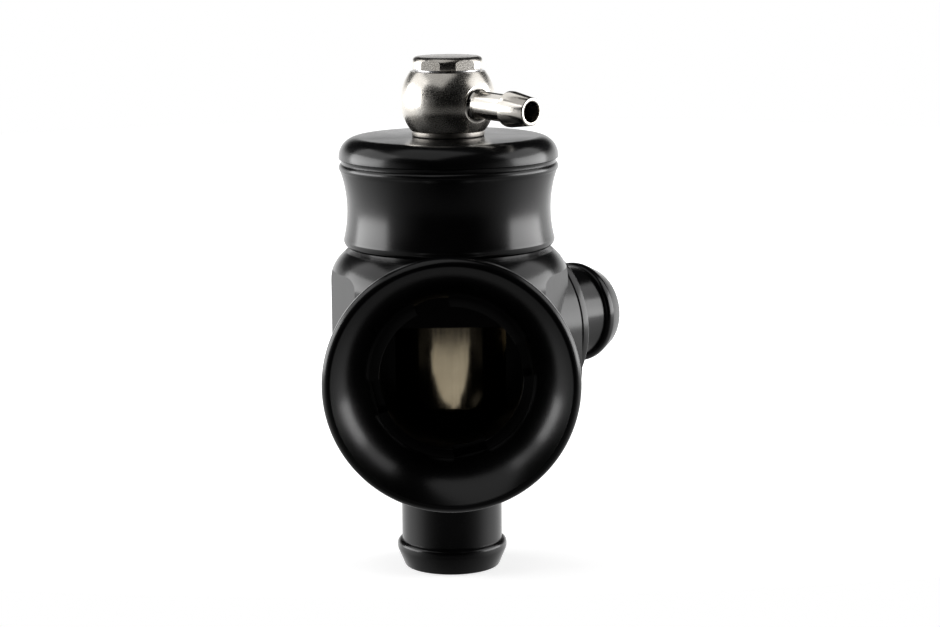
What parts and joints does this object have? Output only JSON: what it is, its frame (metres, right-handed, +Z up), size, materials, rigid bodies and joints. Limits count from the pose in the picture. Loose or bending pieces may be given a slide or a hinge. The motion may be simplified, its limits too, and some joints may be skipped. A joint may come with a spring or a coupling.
{
  "type": "blow off valve",
  "caption": "Dual-port piston blow off valve with a bell-mouthed vent trumpet, beaded hose tails for inlet and recirculation, and a banjo vacuum fitting.",
  "frame": {"origin": "centre of the inlet tail's end face, on the piston's axis", "axes": "+Z up the piston's axis towards the cap, -Y out of the trumpet"},
  "size_m": [0.0742, 0.0907, 0.1271],
  "materials": {
    "black_anodise": "black anodised, satin gloss",
    "bright_nickel": "bright nickel plate with a fine grain",
    "bare_aluminium": "bare, ground and lightly scratched",
    "black_rubber": "matt",
    "guide_band": "filled bearing band",
    "spring_steel": "drawn"
  },
  "bodies": {
    "housing": {"body": "black_anodise", "cap": "black_anodise", "cap_seal": "black_rubber", "trumpet": "black_anodise", "trumpet_seal": "black_rubber", "inlet_tail": "black_anodise", "inlet_seal": "black_rubber", "recirc_tail": "black_anodise", "recirc_seal": "black_rubber", "banjo_bolt": "bright_nickel", "banjo_eye": "bright_nickel", "banjo_nipple": "bright_nickel", "banjo_upper_washer": "spring_steel", "banjo_lower_washer": "bright_nickel", "spring": "spring_steel"},
    "piston_group": {"piston": "bare_aluminium", "piston_upper_seal": "black_rubber", "piston_lower_seal": "black_rubber", "piston_guide_ring": "guide_band", "piston_nose_seal": "black_rubber"}
  },
  "joints": [
    {"name": "piston_slide", "type": "slide", "parent": "housing", "child": "piston_group", "axis": [0, 0, 1], "range_m": [0, 0.015], "stiffness_N_per_m": 2000, "springref_m": -0.012, "deforming": ["spring"]}
  ]
}
